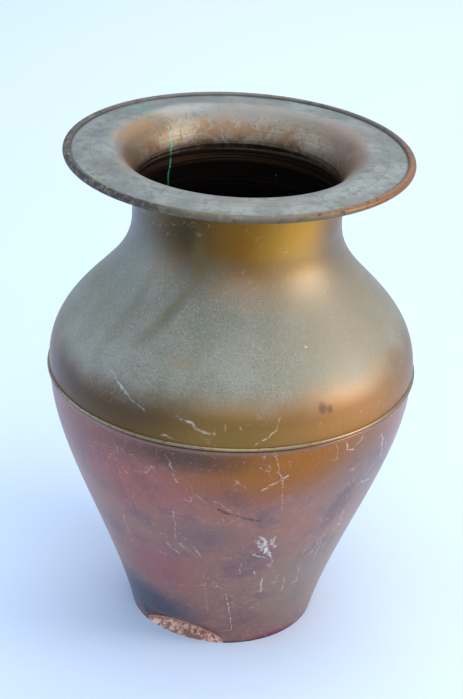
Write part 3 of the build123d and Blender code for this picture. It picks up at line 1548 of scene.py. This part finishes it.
@dataclass(frozen=True)
class ShoulderCopper:
    """Spun copper under a dull grey-green bloom, rubbed back to gold at neck and waist.

    The bloom is copper carbonate, fine and speckled.  It lies between a lower and an
    upper edge, and the upper edge dips where the neck has been held.  The bright gold on the
    right of the neck and of the lower shoulder is a painted highlight, the grey on the left of
    the neck a painted reflection, and the dark olive left of the neck's front painted shade and
    a painted dark reflection.  The olive on the hem's leaf is partly a painted highlight, and
    the side that faces the axis is painted near black as shade.
    """

    name: str = "patinated_spun_copper"
    mm_per_degree: float = 2.62
    metal: str = "7A5426"
    bloom: str = "7E8476"
    # Painted shade: the side that faces the axis is near black.
    inside: str = "0E0A07"
    # The hem's leaf: rubbed olive, lightened as a painted highlight along its top.
    hem: str = "8E8468"
    hem_shadow: str = "241C16"
    scuff: str = "C6BCA6"
    scuff_strength: float = 0.18
    heat: tuple[Veil, ...] = (Veil("94642E", Texture.CLOUDS, 0.4, 0.65, 0.6),)
    speckle: tuple[Veil, ...] = (
        Veil("8C8F86", Texture.CLOUDS, 0.4, 0.66, 0.7),
        Veil("63695F", Texture.GRAIN, 0.52, 0.72, 0.4),
        Veil("ACB4B0", Texture.GRAIN, 0.44, 0.26, 0.4),
    )
    cloud_swing: float = 11.0
    mottle_swing: float = 2.0
    low_edge: Point = (272.0, 312.0)
    high_edge: Point = (414.0, 352.0)
    held_azimuth: float = 38.0
    held_slope: float = 0.12
    gaps: Point = (0.45, 0.72)
    gap_strength: float = 0.3
    bloom_strength: float = 0.93
    hem_height: Point = (258.4, 257.6)
    hem_radius: Point = (166.4, 166.9)
    hem_wear_and_highlight: Point = (0.3, 0.5)
    hem_strength: float = 0.85
    hem_underside: Point = (255.0, 254.0)
    inner_rings: tuple[Veil, ...] = (Veil("2A1B10", Texture.RINGS, 0.5, 0.66, 0.8),)
    sheen: Sheen = Sheen(0.85, 0.36, 0.1)
    bloom_sheen: Sheen = Sheen(0.25, 0.6)
    bloom_dulling: float = 0.9
    inner_sheen: Sheen = Sheen(0.9, 0.7)
    grain: float = 0.6
    depth: float = 0.05
    lacquer: float = 0.12
    patches: tuple[Patch, ...] = (
        Patch("5E4A3C", -58, 276, 22, 30, 0.95, 0.8, 0.3),
        Patch("5A4020", -30, 274, 20, 28, 0.85, 0.8, 0.3),
        Patch("8A6A34", 6, 270, 24, 24, 0.8, 0.8, 0.3),
        # Painted highlight: gold on the right of the lower shoulder.
        Patch("B87C40", 42, 282, 22, 30, 0.95, 0.9, 0.3),
        # Painted shade and a painted dark reflection: olive left of the neck's front, under the
        # rim.
        Patch("40341A", -26, 414, 24, 32, 0.95, 0.9, 0.3),
        Patch("7E5206", 6, 410, 18, 38, 0.95, 1.0, 0.2),
        # Painted highlight: gold on the right of the neck.
        Patch("C08A2C", 38, 406, 20, 40, 1.0, 1.0, 0.2),
        Patch("6E5238", 68, 400, 14, 34, 0.8, 0.9, 0.3),
        # Painted reflection: grey on the left of the neck.
        Patch("5E5E54", -72, 405, 22, 42, 0.9, 0.9, 0.3),
        Patch("A87838", 140, 276, 36, 24, 0.9, 0.6, 0.4),
        Patch("4A3A24", -140, 272, 36, 24, 0.9, 0.6, 0.4),
        Patch("A06C24", -150, 410, 36, 34, 0.9, 0.6, 0.4),
        Patch("45351C", 130, 410, 36, 34, 0.9, 0.6, 0.4),
    )
    stains: tuple[Patch, ...] = (
        Patch("9A8A72", 56, 345, 30, 50, 0.6, 0.9, 0.3),
        Patch("4E4030", -36, 276, 18, 14, 0.5, 0.8, 0.3),
        Patch("6A5C3C", -28, 348, 2.4, 24, 0.6, 0.8, 0.3, 40),
        Patch("6E664C", -46, 352, 2.8, 34, 0.4, 0.8, 0.3, 12),
        Patch("6C5A34", -19, 394, 4, 20, 0.6, 0.8, 0.3),
        Patch("8A7A58", -16, 318, 5, 4, 0.45, 0.6, 0.6),
        Patch("5A4038", 29, 285, 1.3, 4.0, 0.6, 0.6, 1.0),
        Patch("5A4038", 31.5, 283, 1.0, 3, 0.6, 0.6, 1.0),
        Patch("8C6A50", 66, 296, 5, 8, 0.6, 0.5, 0.7),
    )
    scratches: tuple[Scratch, ...] = (
        Scratch((-41, 300), (-26, 279), 1.0, 0.45, "A9BDB4"),
        Scratch((-37, 294), (-33, 288), 1.6, 0.35, "A9BDB4"),
        Scratch((-16, 281), (-11, 276), 1.7, 0.6, "D8C4B4"),
        Scratch((-12, 278), (-9, 272), 1.3, 0.6, "D8C4B4"),
        Scratch((-9, 272), (-4, 269), 1.8, 0.6, "D8C4B4"),
        Scratch((-1, 278), (-0.5, 273), 1.6, 0.5, "D8C4B4"),
        Scratch((3.5, 277), (3.8, 274), 1.3, 0.5, "D8C4B4"),
        Scratch((15.5, 285), (14, 272), 0.9, 0.7, "C8A888"),
        Scratch((14, 272), (8, 260), 1.1, 0.8, "D8B898"),
        Scratch((42, 276), (43, 273), 1.4, 0.8, "E8C8A8"),
        Scratch((-20, 262), (-16, 260), 0.9, 0.6, "D8C4B4"),
        Scratch((28, 330), (29, 329), 1.0, 0.9, "D8DED8"),
        Scratch((110, 300), (118, 280), 1.1, 0.7, "C2D2C8"),
        Scratch((-120, 290), (-108, 276), 1.4, 0.7, "D8C4B4"),
    )
    drips: tuple[Scratch, ...] = (
        Scratch((-136, 415), (-135, 392), 2.2, 1.0, "58D6BA"),
        Scratch((158, 405), (158.5, 404), 1.5, 0.8, "4FC0A8"),
    )

    def cover(self, coat: Coat) -> bpy.types.NodeSocket:
        """Work out where the bloom lies.

        Args:
            coat: The surface that it lies on.

        Returns:
            Its mask.
        """
        level = coat.uneven(coat.height, Texture.CLOUDS, self.cloud_swing)
        level = coat.uneven(level, Texture.MOTTLE, self.mottle_swing)
        above_waist = coat.mask(level, self.low_edge)
        level = coat.tilted(level, self.held_azimuth, self.held_slope)
        cover = coat.mask(level, self.high_edge, within=above_waist)
        return coat.lay(cover, 0.0, coat.mask(Texture.GRAIN, self.gaps, self.gap_strength))

    def material(self, tools: MarkTools) -> bpy.types.Material:
        """Build the material of the upper shell.

        Args:
            tools: The shared shader groups.

        Returns:
            The material.
        """
        coat = Coat(self.name, tools, self.mm_per_degree)
        metal = coat.veils(self.metal, self.heat)
        metal = coat.patches(metal, self.patches)
        bloom = coat.veils(self.bloom, self.speckle)
        cover = self.cover(coat)
        colour = coat.lay(metal, bloom, cover, self.bloom_strength)
        colour = coat.patches(colour, self.stains)
        colour = coat.lay(colour, self.scuff, coat.curls(self.scuff_strength))
        colour = coat.scratches(colour, self.scratches)
        hem = coat.mask(coat.height, self.hem_height)
        hem = coat.mask(coat.radius, self.hem_radius, within=hem)
        worn_and_highlit = coat.mask(Texture.BREAKS, self.hem_wear_and_highlight, self.hem_strength, hem)
        # Wear on the hem's leaf, with a painted highlight.
        colour = coat.lay(colour, self.hem, worn_and_highlit)
        underside = coat.mask(coat.height, self.hem_underside, within=hem)
        colour = coat.lay(colour, self.hem_shadow, underside)
        # Painted shade inside, with the verdigris drips and the spin rings on it.
        inside = coat.veils(coat.scratches(self.inside, self.drips), self.inner_rings)
        inner = coat.inner_side()
        colour = coat.lay(colour, inside, inner)
        metallic = coat.lay(
            self.sheen.metallic, self.bloom_sheen.metallic, cover, self.bloom_dulling
        )
        metallic = coat.lay(metallic, self.inner_sheen.metallic, inner)
        roughness = coat.uneven(self.sheen.roughness, Texture.MOTTLE, self.sheen.swing)
        roughness = coat.lay(roughness, self.bloom_sheen.roughness, cover)
        roughness = coat.lay(roughness, self.inner_sheen.roughness, inner)
        relief = coat.relief(self.grain)
        return coat.dress(colour, metallic, roughness, relief, self.depth, self.lacquer)


@dataclass(frozen=True)
class RimCopper:
    """Copper rim: grey-green bloom on top, tan where hands rub, black down the throat.

    Its patches are measured by radius, because the land is nearly level.  The rolled
    edge has its own dark tarnish, which wears to tan where it is held.  The black down the
    throat, the dark line in the groove before the roll and two dark brown patches at the sides
    of the flare are painted shade.
    """

    name: str = "weathered_rim_copper"
    mm_per_degree: float = 2.2
    bloom: str = "686F6C"
    rubbed: str = "9C8E78"
    # Painted shade: near black down the throat.
    throat: str = "17100A"
    under: str = "6A4A30"
    roll: str = "2B2D30"
    speckle: tuple[Veil, ...] = (
        Veil("7E8582", Texture.CLOUDS, 0.4, 0.62),
        Veil("5A5E58", Texture.MOTTLE, 0.48, 0.64, 0.75),
        Veil("484C48", Texture.GRAIN, 0.6, 0.74, 0.6),
    )
    rubbing: tuple[Veil, ...] = (
        Veil("86684A", Texture.CLOUDS, 0.42, 0.6),
        Veil("9A9890", Texture.MOTTLE, 0.48, 0.64, 0.75),
        Veil("7A6450", Texture.RINGS, 0.5, 0.66, 0.5),
        Veil("554A42", Texture.BREAKS, 0.54, 0.66, 0.6),
    )
    throat_rings: tuple[Veil, ...] = (Veil("4A3220", Texture.RINGS, 0.48, 0.64, 0.9),)
    bloom_edge: Point = (96.0, 116.0)
    cloud_swing: float = 22.0
    mottle_swing: float = 6.0
    throat_shade_edge: Point = (439.0, 426.0)
    throat_mottle: float = 3.0
    throat_swing: float = 10.0
    land_line_and_groove_shade: tuple[Band, ...] = (
        Band("4E524E", (129.0, 130.0), (131.0, 130.0), 0.5),
        # Painted shade: a dark line in the groove between the land and the roll.
        Band("33302C", (144.6, 146.6), (148.4, 147.0), 0.85),
    )
    roll_wear: tuple[Veil, ...] = (Veil("76664C", Texture.BREAKS, 0.5, 0.62, 0.8),)
    roll_patches: tuple[Patch, ...] = (
        Patch("8E5C30", 62, 150, 40, 30, 0.75, 0.5, 0.6),
        Patch("726B56", 4, 150, 30, 30, 0.6, 0.6, 0.6),
        Patch("6E655A", 178, 150, 60, 30, 0.7, 0.6, 0.6),
    )
    roll_dirt: tuple[Veil, ...] = (Veil("2A2826", Texture.MOTTLE, 0.58, 0.66, 0.8),)
    roll_start: Point = (147.0, 148.2)
    underside: Point = (-0.1, -0.4)
    underside_end: Point = (148.0, 146.0)
    bloom_end: Point = (148.0, 147.0)
    sheen: Sheen = Sheen(0.45, 0.5, 0.08)
    bloom_sheen: Sheen = Sheen(0.3, 0.5)
    throat_metallic: float = 0.7
    grain: float = 0.4
    depth: float = 0.06
    lacquer: float = 0.1
    patches: tuple[Patch, ...] = (
        Patch("7E7C76", 165, 108, 22, 10, 0.7, 0.8, 0.9),
        Patch("7C6C60", 118, 108, 22, 12, 0.8, 0.6, 0.8),
        Patch("6E5444", 95, 103, 20, 9, 0.7, 0.6, 0.8),
        # Painted shade: dark brown at both sides of the flare, on this line and the next.
        Patch("4E3828", -84, 95, 34, 9, 0.9, 0.8, 0.5),
        Patch("5A4232", 84, 94, 34, 8, 0.8, 0.8, 0.5),
        Patch("9A9A96", -150, 112, 12, 8, 0.6, 0.6, 0.7),
        Patch("84643E", -118, 104, 18, 8, 0.7, 0.6, 0.8),
        Patch("8C7A62", 60, 100, 16, 5, 0.6, 0.6, 0.7),
        Patch("86705A", 178, 128, 12, 3, 0.4, 0.6, 0.7),
        Patch("6E5E4E", 6, 124, 18, 5, 0.5, 0.7, 0.8),
        Patch("6A5C50", -60, 122, 16, 6, 0.4, 0.7, 0.8),
        Patch("4E8A78", -134, 132, 5, 12, 0.35, 0.7, 0.9),
    )
    drips: tuple[Scratch, ...] = (
        Scratch((-137, 438), (-136, 414), 2.0, 1.0, "58D6BA"),
        Scratch((-138, 453), (-137, 440), 2.6, 0.6, "58C0A8"),
    )

    def edge_colour(self, coat: Coat, across: bpy.types.NodeSocket) -> object:
        """Build up the colour of the rolled edge.

        Args:
            coat: The surface that it belongs to.
            across: The unrolled place, with the radius as its second length.

        Returns:
            The colour.
        """
        colour = coat.veils(self.roll, self.roll_wear)
        colour = coat.patches(colour, self.roll_patches, across)
        return coat.veils(colour, self.roll_dirt)

    def material(self, tools: MarkTools) -> bpy.types.Material:
        """Build the material of the flared rim.

        Args:
            tools: The shared shader groups.

        Returns:
            The material.
        """
        coat = Coat(self.name, tools, self.mm_per_degree)
        across = coat.unrolled(coat.radius)
        bloom = coat.veils(self.bloom, self.speckle)
        rubbed = coat.veils(self.rubbed, self.rubbing)
        level = coat.uneven(coat.radius, Texture.CLOUDS, self.cloud_swing)
        level = coat.uneven(level, Texture.MOTTLE, self.mottle_swing)
        cover = coat.mask(level, self.bloom_edge)
        colour = coat.lay(rubbed, bloom, cover)
        colour = coat.patches(colour, self.patches, across)
        # Painted shade down the throat, below a ragged edge; its spin rings show through.
        level = coat.uneven(coat.height, Texture.MOTTLE, self.throat_mottle)
        level = coat.uneven(level, Texture.RINGS, self.throat_swing)
        dark = coat.mask(level, self.throat_shade_edge)
        colour = coat.lay(colour, coat.veils(self.throat, self.throat_rings), dark)
        colour = coat.scratches(colour, self.drips)
        colour = coat.bands(colour, self.land_line_and_groove_shade, coat.radius)
        rolled = coat.mask(coat.radius, self.roll_start)
        colour = coat.lay(colour, self.edge_colour(coat, across), rolled)
        beneath = coat.mask(coat.upward, self.underside)
        beneath = coat.mask(coat.radius, self.underside_end, within=beneath)
        colour = coat.lay(colour, self.under, beneath)
        cover = coat.mask(coat.radius, self.bloom_end, within=cover)
        metallic = coat.lay(self.sheen.metallic, self.bloom_sheen.metallic, cover)
        metallic = coat.lay(metallic, self.throat_metallic, dark)
        roughness = coat.uneven(self.sheen.roughness, Texture.MOTTLE, self.sheen.swing)
        roughness = coat.lay(roughness, self.bloom_sheen.roughness, cover)
        relief = coat.relief(self.grain)
        return coat.dress(colour, metallic, roughness, relief, self.depth, self.lacquer)


@dataclass(frozen=True)
class PlainMetal:
    """A dull metal: one colour under a few veils, with a relief from one texture."""

    name: str
    metal: str
    veils: tuple[Veil, ...]
    sheen: Sheen
    uneven_by: Texture
    relief: Texture
    depth: float
    mm_per_degree: float = 2.6

    def material(self, tools: MarkTools) -> bpy.types.Material:
        """Build the material.

        Args:
            tools: The shared shader groups.

        Returns:
            The material.
        """
        coat = Coat(self.name, tools, self.mm_per_degree)
        colour = coat.veils(self.metal, self.veils)
        roughness = coat.uneven(self.sheen.roughness, self.uneven_by, self.sheen.swing)
        relief = coat.texture(self.relief)
        return coat.dress(colour, self.sheen.metallic, roughness, relief, self.depth)


# Copper sheet, dull brown, with dirt where umbrella tips have scraped.
BOTTOM_COPPER = PlainMetal(
    name="dull_copper_bottom",
    metal="5A3B2C",
    veils=(
        Veil("3A2A22", Texture.CLOUDS, 0.4, 0.62),
        Veil("241C18", Texture.MOTTLE, 0.5, 0.66, 0.8),
        Veil("7C5240", Texture.GRAIN, 0.6, 0.74, 0.6),
    ),
    sheen=Sheen(0.55, 0.5, 0.12),
    uneven_by=Texture.MOTTLE,
    relief=Texture.GRAIN,
    depth=0.05,
)
# Steel wire: grey lines from the drawing die along its length, and a little rust.
DRAWN_STEEL = PlainMetal(
    name="drawn_steel_wire",
    metal="6A6866",
    veils=(
        Veil("8A8886", Texture.RINGS, 0.4, 0.6),
        Veil("6E4630", Texture.MOTTLE, 0.52, 0.66, 0.8),
    ),
    sheen=Sheen(0.85, 0.42, 0.12),
    uneven_by=Texture.MOTTLE,
    relief=Texture.RINGS,
    depth=0.03,
)
# Tin solder wiped along the seams with a cloth: dull grey, lumpy and dirty.
SOFT_SOLDER = PlainMetal(
    name="wiped_tin_solder",
    metal="6E6C68",
    veils=(
        Veil("4A4642", Texture.MOTTLE, 0.42, 0.62),
        Veil("2C2622", Texture.CLOUDS, 0.5, 0.62, 0.7),
    ),
    sheen=Sheen(0.6, 0.5, 0.12),
    uneven_by=Texture.GRAIN,
    relief=Texture.MOTTLE,
    depth=0.3,
)


def main() -> None:
    """Build the urn and its stage."""
    logging.basicConfig(level=logging.INFO, format="%(message)s")
    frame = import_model()
    Stage().build()
    lathe, tools, dent = Lathe(), MarkTools(), FootDent()
    solder = SOFT_SOLDER.material(tools)
    body = LowerShell()
    lower = lathe.turn(
        "lower_body", body.outline(), BodyCopper().material(tools), body.segments
    )
    dent.push(lower.data)
    dent.mark(lower.data)
    shoulder = UpperShell()
    upper = lathe.turn(
        "shoulder_and_neck",
        shoulder.outline(),
        ShoulderCopper().material(tools),
        shoulder.segments,
    )
    flare = FlaredRim()
    rim = lathe.turn("rim", flare.outline(), RimCopper().material(tools), flare.segments)
    flare.settle(rim.data)
    hoop = RimWire()
    wire = lathe.turn("wire_hoop", hoop.outline(), DRAWN_STEEL.material(tools), hoop.segments)
    flare.settle(wire.data)
    bottom_copper = BOTTOM_COPPER.material(tools)
    disc = copy_of_node(frame["nodes"]["bottom_plate"], "bottom_disc", bottom_copper)
    dent.push(disc.data, is_inside=True)
    seam = copy_of_node(frame["nodes"]["bottom_solder"], "bottom_seam", solder)
    dent.push(seam.data, is_inside=True)
    new_pieces = (
        (lower, "lower_shell", "aged_copper"),
        (upper, "upper_shell", "aged_copper"),
        (rim, "flared_rim", "aged_copper"),
        (wire, "rim_wire", "steel_wire"),
        (disc, "bottom_plate", "aged_copper"),
        (seam, "bottom_solder", "solder"),
    )
    for piece, node, slot in new_pieces:
        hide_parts(node)
        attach(piece, BODY)
        LOG.info("%s: %d faces", piece.name, len(piece.data.polygons))
    for node in ("waist_solder", "collar_solder"):
        for holder in frame["nodes"][node].material_slots:
            holder.material = solder
        LOG.info("%s keeps the frame's mesh", node)


if __name__ == "__main__":
    main()
